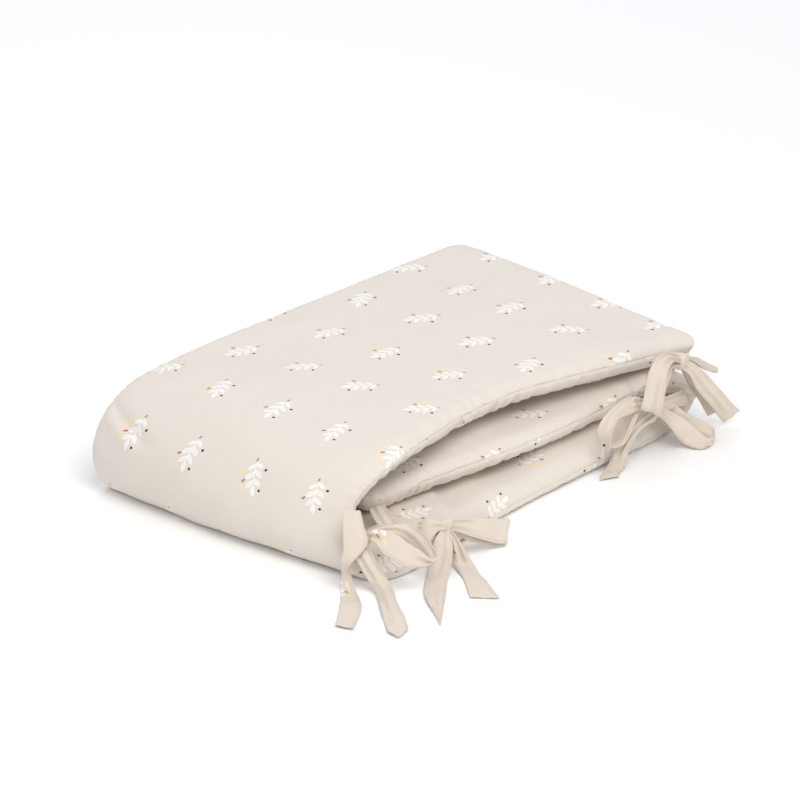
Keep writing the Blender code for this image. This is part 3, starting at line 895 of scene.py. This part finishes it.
@dataclass(frozen=True)
class TapeRun:
    """One length of tape: at each bend, where its one edge is and where its other edge is.

    All lengths are in mm. Cup bows the tape over its width, and crease folds it along its middle,
    over crease_share of its half width. End_bulge lets the far end reach further than its corners,
    off its middle by bulge_off half widths, and end_curl lifts those corners. Waves are the gathers
    across the tape, for spare cloth up to most_spare of its width, and they drift over the sway's
    length. Slack is the wrinkles' height and length, and slack_across the half width they cover.
    """

    name: str
    rows: tuple[Row, ...]
    cup: float = 0.0
    crease: float = 0.0
    crease_share: float = 0.28
    full_width: float = 22.0
    half_thickness: float = 0.85
    edge_power: float = 7.0
    end_round: float = 2.5
    least_thick: float = 0.02
    station: float = 2.2
    least_stations: int = 8
    lanes: int = 17
    floor_gap: float = 0.3
    hem: float = 9.0
    waves: float = 1.9
    sway: float = 70.0
    drift: float = 0.8
    most_spare: float = 1.5
    deepest_gather: float = 2.0
    slack: tuple[float, float] = (0.5, 26.0)
    slack_across: float = 11.0
    folds: tuple[TapeFold, ...] = ()
    end_bulge: float = 0.0
    bulge_off: float = 0.1
    end_curl: float = 0.0
    end_reach: float = 22.0

    def surface(self, seed: int) -> Shape:
        """The tape as a closed flat tube.

        Its middle surface is ruled between two splined edges and then raised by a bow, a fold and
        lengthwise gathers. Where the edges are nearer than the full width, the gathers are waves
        deep enough for the cloth to keep its width. Both faces stand off that surface by half the
        thickness, which rounds off at the edges and ends.

        Args:
            seed: picks the gathers and wrinkles.

        Returns:
            The points in mm, the faces, and u and v in metres for each corner of each face.
        """
        rows = np.array(self.rows, float)
        knots = distances((rows[:, :3] + rows[:, 3:]) / 2)
        count = max(self.least_stations, round(knots[-1] / self.station)) + 1
        edges = spline(knots, rows, np.linspace(0, knots[-1], count))
        first, second = edges[:, :3], edges[:, 3:]
        line = (first + second) / 2
        along = distances(line)
        side = unit(second - first)
        half = np.linalg.norm(second - first, axis=1)[:, None] / 2
        heading = unit(np.gradient(line, axis=0))
        normal = unit(np.cross(heading, side))
        LOG.info("%s: %.0f mm of tape", self.name, along[-1])

        crowded = np.sin(np.linspace(-math.pi / 2, math.pi / 2, self.lanes))
        lane = 0.5 * crowded + 0.5 * np.linspace(-1, 1, self.lanes)
        height = self.relief(along[:, None], lane[None, :], half, seed)
        middle = line[:, None] + side[:, None] * (half * lane)[..., None]
        middle += normal[:, None] * height[..., None]
        far_end = np.clip(1 - (along[-1] - along[:, None]) / self.end_reach, 0, 1) ** 2
        bulge = self.end_bulge * far_end * (1 - np.abs(lane + self.bulge_off)) * (1 - lane**2)
        middle += heading[:, None] * bulge[..., None]
        middle[..., 2] += self.end_curl * far_end * lane**2
        for fold in self.folds:
            middle[..., 2] += fold.rise(along[:, None], lane[None, :])

        round_edge = np.sqrt(np.clip(1 - np.abs(lane) ** self.edge_power, 0, 1))
        near_end = np.minimum(along, along[-1] - along)
        round_end = np.sqrt(1 - np.clip(1 - near_end / self.end_round, 0, 1) ** 2)
        thick = self.half_thickness * np.maximum(round_edge * round_end[:, None], self.least_thick)
        turn = normal[:, None] * thick[..., None]
        upper, lower = middle + turn, middle - turn
        for skin in (upper, lower):
            skin[..., 2] = np.maximum(skin[..., 2], self.floor_gap)
        raised = normal[:, None, 2] > 0
        gap = 2 * thick * np.abs(normal[:, None, 2])
        upper[..., 2] = np.where(raised, np.maximum(upper[..., 2], lower[..., 2] + gap), upper[..., 2])
        lower[..., 2] = np.where(raised, lower[..., 2], np.maximum(lower[..., 2], upper[..., 2] + gap))
        rings = np.concatenate([upper, lower[:, -2:0:-1]], axis=1)
        round_lane = np.concatenate([lane, lane[-2:0:-1]])
        return tube(rings, along[:, None] * MM, round_lane * self.full_width / 2 * MM)

    def relief(self, along: Array, lane: Array, half: Array, seed: int) -> Array:
        """Height of the cloth over its ruled strip: bow, fold, gathers and slight wrinkles.

        Args:
            along: distance along the tape.
            lane: place across the tape, from -1 to 1.
            half: half the distance between its edges.
            seed: picks the gathers and wrinkles.

        Returns:
            Heights along the strip's normal.
        """
        spare = np.sqrt(np.clip(self.full_width / (2 * half) - 1, 0, self.most_spare))
        depth = np.minimum(2 * half / (math.pi * self.waves) * spare, self.deepest_gather)
        phase = seed + self.drift * ripple(along, 0 * along, self.sway, seed)
        in_hem = np.clip(np.minimum(along, along[-1] - along) / self.hem, 0, 1)
        gathers = depth * np.sin(math.pi * self.waves * lane + phase) * in_hem
        open_share = np.clip(2 * half / self.full_width, 0, 1) ** 2
        bow = self.cup * (1 - lane**2) * open_share
        fold = -self.crease * bell(lane, self.crease_share) * open_share
        wrinkle, wavelength = self.slack
        slack = wrinkle * ripple(along, self.slack_across * lane, wavelength, seed + 3) * open_share * in_hem
        return gathers + bow + fold + slack


@dataclass(frozen=True)
class Knot:
    """The bow's knot: a band of the tape wrapped once round the gathered loops.

    Half_sizes are along the bow, away from its face, and up. Band is the band's half width, waist
    its share of that in front, and cup how far it swells. Wrap is the angles where it starts and
    ends. Gathered is its flat width as a share of band, and sunk how deep its edges lie as a share
    of cup. Roll and pan are turns in degrees. The core is a ball with shallow dents, inset under it.
    """

    centre: tuple[float, float, float]
    half_sizes: tuple[float, float, float]
    band: float = 7.0
    roll: float = 8.0
    cup: float = 1.6
    pan: float = -47.0
    waist: float = 0.86
    gathered: float = 2.15
    sunk: float = 0.6
    wrap: tuple[float, float] = (-0.6, 2 * math.pi - 0.4)
    station: float = 1.4
    stations: int = 15
    rings: int = 17
    spokes: int = 28
    core_cap: float = 0.04
    core_inset: float = 1.2
    dent: float = 0.07
    core_cloth: tuple[float, float] = (0.004, 0.006)

    def axes(self) -> tuple[Array, Array, Array]:
        """The knot's own directions: along the bow, away from the bow's face, and up."""
        pan = math.radians(self.pan)
        across = np.array([math.cos(pan), math.sin(pan), 0])
        return across, np.array([-across[1], across[0], 0]), np.array([0, 0, 1.0])

    def band_run(self) -> TapeRun:
        """The wrapped band: an ellipse of tape round the bow's own axis, rolled a little."""
        across, away, up = self.axes()
        deep, high = (size - self.sunk * self.cup for size in self.half_sizes[1:])
        angle = np.linspace(*self.wrap, self.stations)[:, None]
        slip = self.band * math.tan(math.radians(self.roll)) * np.sin(angle) * across
        line = np.array(self.centre) + slip + deep * np.cos(angle) * away + high * np.sin(angle) * up
        pinch = self.band * (self.waist + (1 - self.waist) * np.sin(angle) ** 2)
        rows = np.concatenate([line + pinch * across, line - pinch * across], axis=1)
        width = self.gathered * self.band
        return TapeRun("band", tuple(map(tuple, rows)), self.cup, full_width=width, station=self.station)

    def core(self) -> Shape:
        """The gathered cloth under the band: a ball pressed to a little less than the knot's size.

        Returns:
            The points in mm, the faces, and u and v in metres for each corner of each face.
        """
        tall = np.linspace(self.core_cap, math.pi - self.core_cap, self.rings)[:, None]
        spin = np.linspace(0, 2 * math.pi, self.spokes, endpoint=False)[None, :]
        ball = np.stack(
            [np.sin(tall) * np.cos(spin), np.sin(tall) * np.sin(spin), np.cos(tall) + 0 * spin], axis=-1
        )
        dented = ball * (1 - self.dent * np.abs(np.sin(3 * spin + 2 * tall)))[..., None]
        local = dented * (np.array(self.half_sizes) - (0.0, self.core_inset, self.core_inset))
        points = np.array(self.centre) + local @ np.array(self.axes())
        u_scale, v_scale = self.core_cloth
        return tube(points, spin * u_scale, tall * v_scale)


@dataclass(frozen=True)
class Bow:
    """One tie: a tape sewn at its middle to the front seam and tied in a bow.

    Flat_length is the whole tape's, and is not used; print_start is where the first run lies on
    the print and print_step is how much further on each next one does, all in metres.
    """

    name: str
    node: str
    knot: Knot
    runs: tuple[TapeRun, ...]
    flat_length: float
    print_start: float
    seed: int
    print_step: float = 0.113
    seed_step: int = 5

    def build(self, finish: Material) -> Piece:
        """Makes every length of the bow, joins them into one mesh and dresses it.

        Args:
            finish: the tape's cloth.

        Returns:
            The new piece.
        """
        runs = (self.knot.band_run(), *self.runs)
        LOG.info("%s has %d runs of tape", self.name, len(runs))
        shapes = [self.knot.core()]
        shapes += [run.surface(self.seed + self.seed_step * number) for number, run in enumerate(runs)]
        points, faces, cloth = [], [], []
        for number, (corners, quads, uv) in enumerate(shapes):
            faces.append(quads + sum(map(len, points)))
            points.append(corners)
            cloth.append(uv + (self.print_start + self.print_step * number, 0))
        piece = mesh_object(self.name, *map(np.concatenate, (points, faces, cloth)), finish)
        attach(piece, "root")
        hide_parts(self.node)
        return piece


# The runs of each bow. A row is a bend: x, y, z of its one edge, then of its other edge.
OUTER_WRAP_RUNS = (
    TapeRun("strap", rows=(
        (-266, -165, 69, -268, -165, 48), (-277, -178, 66, -280, -179, 46),
        (-287, -190, 60, -288, -191, 46),
    )),
    TapeRun("loop_into_left_tail", cup=1.0, deepest_gather=0.7, end_curl=2.5, rows=(
        (-288, -183, 53, -281, -190, 53), (-288, -177, 64, -277, -186, 62),
        (-288, -174, 75, -276, -185, 71), (-289, -175, 82, -277, -185, 78),
        (-296, -178, 80, -282, -192, 76), (-304, -184, 70, -288, -201, 68),
        (-309, -189, 58, -290, -208, 57), (-313, -193, 46, -297, -208, 47),
        (-316, -193, 35, -308, -202, 35), (-310, -188, 18, -303, -195, 18),
        (-314, -191, 4, -304, -202, 4), (-341, -215, 2, -327, -233, 2),
        (-366, -235, 2, -350, -251, 2), (-384, -248, 2, -378, -269, 2),
    )),
    TapeRun("hanging_loop", cup=0.8, rows=(
        (-285, -197, 59, -288, -200, 48), (-283, -205, 65, -286, -209, 54),
        (-279, -217, 68, -287, -222, 48), (-273, -229, 66, -283, -235, 41),
        (-265, -240, 57, -275, -244, 33), (-257, -249, 48, -264, -250, 28),
        (-248, -254, 39, -252, -252, 26), (-238, -255, 31, -238, -250, 26),
        (-231, -252, 33, -234, -241, 23), (-227, -244, 39, -234, -230, 27),
        (-227, -239, 46, -236, -224, 34), (-231, -233, 53, -243, -223, 43),
        (-238, -228, 61, -255, -221, 53), (-249, -220, 66, -266, -215, 58),
        (-261, -210, 66, -273, -209, 58), (-273, -200, 65, -279, -202, 56),
        (-283, -195, 60, -286, -197, 52),
    )),
    TapeRun("right_tail", cup=1.2, crease=-1.4, end_bulge=16.0, end_curl=3.0, folds=(
        TapeFold(share=0.42, height=3.5, width=9.0, slant=3.0),
    ), rows=(
        (-295, -192, 43, -284, -202, 47), (-300, -200, 36, -288, -212, 43),
        (-299, -206, 27, -287, -221, 30), (-296, -211, 16, -284, -228, 19),
        (-296, -221, 4, -292, -246, 11), (-314, -246, 2, -306, -265, 8),
        (-340, -277, 2, -321, -290, 4), (-360, -302, 2, -340, -313, 2),
    )),
)
MIDDLE_END_RUNS = (
    TapeRun("strap", rows=(
        (-206, -152, 54, -219, -141, 50), (-220, -181, 50, -235, -170, 45),
        (-221, -196, 46, -233, -188, 36), (-206, -203, 46, -211, -206, 29),
        (-193, -209, 46, -197, -213, 30), (-179, -217, 44, -182, -220, 36),
    )),
    TapeRun("left_loop", rows=(
        (-181, -221, 45, -184, -223, 38), (-188, -218, 50, -190, -223, 39),
        (-194, -214, 52, -196, -220, 38), (-201, -209, 53, -205, -220, 31),
        (-205, -204, 49, -210, -214, 29), (-204, -200, 46, -209, -209, 25),
        (-199, -199, 46, -202, -208, 25), (-191, -203, 47, -195, -211, 27),
        (-183, -212, 46, -186, -216, 34), (-180, -220, 44, -182, -222, 37),
    )),
    TapeRun("right_loop", rows=(
        (-181, -219, 42, -183, -221, 36), (-163, -220, 35, -168, -223, 27),
        (-144, -221, 27, -151, -226, 15), (-124, -223, 20, -134, -230, 7),
        (-107, -225, 17, -117, -234, 2), (-98, -229, 20, -110, -240, 2),
        (-99, -235, 26, -112, -243, 4), (-111, -235, 31, -122, -241, 7),
        (-127, -233, 36, -137, -238, 14), (-146, -230, 42, -156, -235, 24),
        (-164, -228, 46, -170, -231, 32), (-177, -224, 47, -180, -227, 37),
        (-181, -219, 44, -183, -221, 37),
    )),
    TapeRun("left_tail", crease=1.7, rows=(
        (-186, -219, 40, -181, -225, 39), (-204, -223, 32, -192, -239, 27),
        (-209, -223, 16, -201, -246, 16), (-222, -230, 4, -212, -252, 4),
        (-257, -257, 2, -241, -275, 2), (-282, -289, 2, -272, -300, 2),
        (-300, -317, 2, -297, -320, 2), (-307, -326, 2, -306, -327, 2),
    )),
    TapeRun("right_tail", crease=0.8, rows=(
        (-184, -221, 37, -180, -222, 42), (-186, -229, 31, -180, -234, 33),
        (-190, -236, 22, -181, -244, 24), (-191, -239, 8, -176, -252, 8),
        (-199, -256, 2, -182, -268, 2), (-217, -281, 2, -197, -296, 2),
        (-235, -303, 2, -215, -328, 2),
    )),
)
TOP_END_RUNS = (
    TapeRun("strap", rows=(
        (215, -168, 99, 236, -173, 98), (219, -182, 98, 233, -185, 97),
        (220, -192, 97, 229, -194, 96),
    )),
    TapeRun("hanging_loop", crease=1.6, rows=(
        (225, -194, 101, 223, -197, 93), (205, -198, 113, 205, -204, 104),
        (184, -202, 120, 188, -213, 110), (167, -205, 116, 173, -221, 108),
        (156, -207, 108, 164, -227, 102), (149, -209, 94, 158, -229, 90),
        (144, -210, 80, 154, -230, 77), (143, -208, 71, 153, -228, 66),
        (151, -202, 66, 163, -221, 60), (163, -197, 73, 174, -215, 69),
        (172, -194, 86, 183, -210, 81), (184, -192, 100, 194, -207, 92),
        (211, -192, 106, 209, -198, 94), (227, -192, 99, 225, -196, 91),
    )),
    TapeRun("right_loop", rows=(
        (226, -192, 100, 222, -195, 93), (236, -192, 100, 231, -198, 95),
        (248, -191, 93, 240, -200, 91), (268, -189, 81, 256, -201, 81),
        (287, -186, 69, 273, -200, 70), (298, -182, 62, 284, -194, 64),
        (300, -177, 61, 286, -189, 62), (281, -179, 73, 267, -191, 74),
        (258, -184, 87, 248, -193, 85), (227, -191, 98, 224, -194, 92),
    )),
    TapeRun("right_tail", crease=0.8, rows=(
        (226, -195, 99, 221, -196, 92), (232, -201, 96, 222, -201, 88),
        (240, -206, 89, 226, -204, 82), (258, -210, 69, 240, -203, 61),
        (280, -211, 44, 263, -203, 35), (298, -210, 25, 282, -201, 13),
        (309, -209, 15, 293, -199, 2),
    )),
    TapeRun("back_tail", rows=(
        (228, -194, 95, 224, -192, 90), (258, -194, 60, 251, -184, 56),
        (277, -195, 36, 269, -183, 33), (293, -193, 15, 284, -183, 8),
    )),
)
INNER_FOLD_RUNS = (
    TapeRun("strap", rows=(
        (256, -174, 48, 252, -183, 31), (228, -183, 54, 224, -190, 40),
        (207, -187, 57, 203, -194, 44), (187, -189, 56, 184, -193, 47),
    )),
    TapeRun("left_loop", crease=0.9, rows=(
        (192, -189, 53, 190, -191, 46), (160, -192, 72, 156, -197, 62),
        (138, -194, 80, 130, -204, 66), (111, -196, 77, 105, -210, 69),
        (92, -196, 67, 91, -216, 64), (85, -195, 54, 84, -217, 53),
        (98, -192, 40, 94, -213, 41), (119, -190, 31, 113, -209, 38),
        (135, -190, 38, 128, -206, 45), (145, -190, 50, 137, -204, 56),
        (162, -190, 61, 156, -197, 60), (180, -188, 59, 175, -192, 51),
        (192, -189, 52, 189, -191, 46),
    )),
    TapeRun("right_loop", rows=(
        (186, -190, 54, 183, -192, 47), (196, -194, 51, 190, -198, 39),
        (206, -200, 43, 196, -205, 28), (219, -209, 32, 204, -210, 15),
        (231, -217, 17, 213, -213, 6), (239, -223, 10, 219, -224, 3),
        (247, -226, 11, 231, -230, 3), (252, -221, 14, 237, -223, 5),
        (243, -208, 24, 222, -201, 12), (226, -197, 38, 207, -193, 22),
        (211, -185, 51, 198, -186, 33), (194, -184, 51, 191, -184, 44),
    )),
    TapeRun("left_tail", cup=0.8, rows=(
        (182, -190, 55, 185, -196, 50), (165, -196, 53, 171, -206, 47),
        (147, -192, 44, 160, -205, 45), (131, -189, 28, 142, -199, 30),
        (115, -192, 18, 126, -205, 18), (107, -191, 6, 126, -202, 5),
        (94, -194, 2, 115, -204, 2), (84, -202, 2, 105, -211, 2),
    )),
)

BOWS = (
    Bow(
        "bow_at_outer_wrap",
        "tie_outer_wrap",
        Knot((-291, -193, 50), (14, 8, 16), band=13.0, roll=4.0, cup=4.0),
        OUTER_WRAP_RUNS,
        flat_length=0.70,
        print_start=0.06,
        seed=100,
    ),
    Bow(
        "bow_at_middle_end",
        "tie_middle_end",
        Knot((-182, -220, 40), (8, 7, 11), band=7.5, roll=18.0, cup=2.4),
        MIDDLE_END_RUNS,
        flat_length=0.66,
        print_start=0.129,
        seed=200,
    ),
    Bow(
        "bow_at_top_end",
        "tie_top_end",
        Knot((225, -194, 96), (9, 8, 12), band=8.0, roll=10.0, cup=2.2),
        TOP_END_RUNS,
        flat_length=0.69,
        print_start=0.34,
        seed=300,
    ),
    Bow(
        "bow_at_inner_fold",
        "tie_inner_fold",
        Knot((191, -187, 49), (10, 9, 12), band=6.5, roll=-12.0),
        INNER_FOLD_RUNS,
        flat_length=0.66,
        print_start=0.146,
        seed=400,
    ),
)


# ---------------------------------------------------------------- the studio
def direction(azimuth: float, elevation: float) -> Vector:
    """The unit vector from the origin towards these angles in degrees: azimuth 0 is -Y, and 90 is +X."""
    turn, tilt = math.radians(azimuth), math.radians(elevation)
    return Vector((math.sin(turn) * math.cos(tilt), -math.cos(turn) * math.cos(tilt), math.sin(tilt)))


@dataclass(frozen=True)
class Softbox:
    """A square studio lamp that faces the origin from an azimuth and elevation, with sizes in metres."""

    name: str
    azimuth: float
    elevation: float
    watts: float
    colour: str = "#FFFFFF"
    side: float = 1.8
    distance: float = 3.0

    def build(self) -> None:
        """Makes the lamp on a sphere round the origin, turned to face it."""
        away = direction(self.azimuth, self.elevation)
        lamp = bpy.data.lights.new(self.name, "AREA")
        lamp.shape = "SQUARE"
        lamp.size = self.side
        lamp.energy = self.watts
        lamp.color = linear(self.colour)[:3]
        facing = (-away).to_track_quat("-Z", "Y").to_matrix().to_4x4()
        add_object(self.name, lamp).matrix_world = Matrix.Translation(away * self.distance) @ facing


SOFTBOXES = (
    Softbox("key_softbox", azimuth=-30, elevation=56, watts=42, colour="#FFFEFC"),
    Softbox("back_softbox", azimuth=150, elevation=50, watts=20, colour="#E9F3FF"),
    Softbox("low_front_softbox", azimuth=-15, elevation=10, watts=9, colour="#FFFBF4"),
    Softbox("left_softbox", azimuth=-100, elevation=30, watts=2),
)


@dataclass(frozen=True)
class Studio:
    """A white paper floor in soft even light, and a long lens at the photograph's angle, in metres.

    View_width is that of a picture of 800 pixels at 912 pixels a metre.
    """

    azimuth: float = -47.0
    elevation: float = 23.5
    distance: float = 9.0
    aim: tuple[float, float, float] = (0.015, 0.0306, 0.050)
    view_width: float = 800 / 912
    sensor: float = 36.0
    far_clip: float = 100.0
    floor_half: float = 6.0
    sky_strength: float = 0.59
    sky: str = "#FFFFFF"
    softboxes: tuple[Softbox, ...] = SOFTBOXES

    def build(self) -> None:
        """Makes the floor, the lights and the camera."""
        self.build_floor()
        self.build_light()
        self.build_camera()

    def build_floor(self) -> None:
        """A flat sheet of paper a hair under the cloth."""
        reach = self.floor_half
        mesh = bpy.data.meshes.new("paper_floor")
        corners = [(-reach, -reach, 0), (reach, -reach, 0), (reach, reach, 0), (-reach, reach, 0)]
        mesh.from_pydata(corners, [], [(0, 1, 2, 3)])
        mesh.materials.append(PaperSweep().build())
        floor = add_object("paper_floor", mesh)

    def build_light(self) -> None:
        """An even white sky, and softboxes of which the strongest is high in front."""
        scene = bpy.context.scene
        scene.view_settings.view_transform = "Standard"
        scene.world = bpy.data.worlds.new("white_sky")
        scene.world.use_nodes = True
        sky = {"Color": linear(self.sky), "Strength": self.sky_strength}
        plug(scene.world.node_tree, scene.world.node_tree.nodes["Background"], sky)
        for softbox in self.softboxes:
            softbox.build()

    def build_camera(self) -> None:
        """A camera on a sphere round the aim, held level, whose lens frames the view's width."""
        back = direction(self.azimuth, self.elevation)
        turn = math.radians(self.azimuth)
        right = Vector((math.cos(turn), math.sin(turn), 0))
        axes = Matrix((right, back.cross(right), back)).transposed().to_4x4()
        lens = bpy.data.cameras.new("photo_view")
        lens.sensor_width = self.sensor
        lens.lens = self.sensor * self.distance / self.view_width
        lens.clip_end = self.far_clip
        camera = add_object("photo_view", lens)
        camera.matrix_world = Matrix.Translation(Vector(self.aim) + back * self.distance) @ axes
        bpy.context.scene.camera = camera


def main() -> None:
    """Builds the bumper and its studio."""
    logging.basicConfig(level=logging.INFO, format="%(message)s")
    panel_cloth = PrintedCotton("printed_cotton_percale", ground="#E5DDD5", shade="#DDD4CB").build()
    # The tapes are cut from the panel's cloth: their two colours here, darker and warmer than the panel's,
    # are painted shade and painted warm bounced light.
    tape_cloth_painted_shade = PrintedCotton(
        "printed_cotton_tape_painted_shade",
        ground="#DED3C7",
        shade="#D9CDC0",
        sprigs=SprigPrint(repeat_along=0.151, repeat_across=0.103, offset=(0.0, 0.019)),
        edge_stitch=True,
    ).build()
    pieces = [PaddedPanel().build(panel_cloth)]
    pieces += [bow.build(tape_cloth_painted_shade) for bow in BOWS]
    for piece in pieces:
        LOG.info("%s: %d faces", piece.name, len(piece.data.polygons))
    Studio().build()


if __name__ == "__main__":
    main()
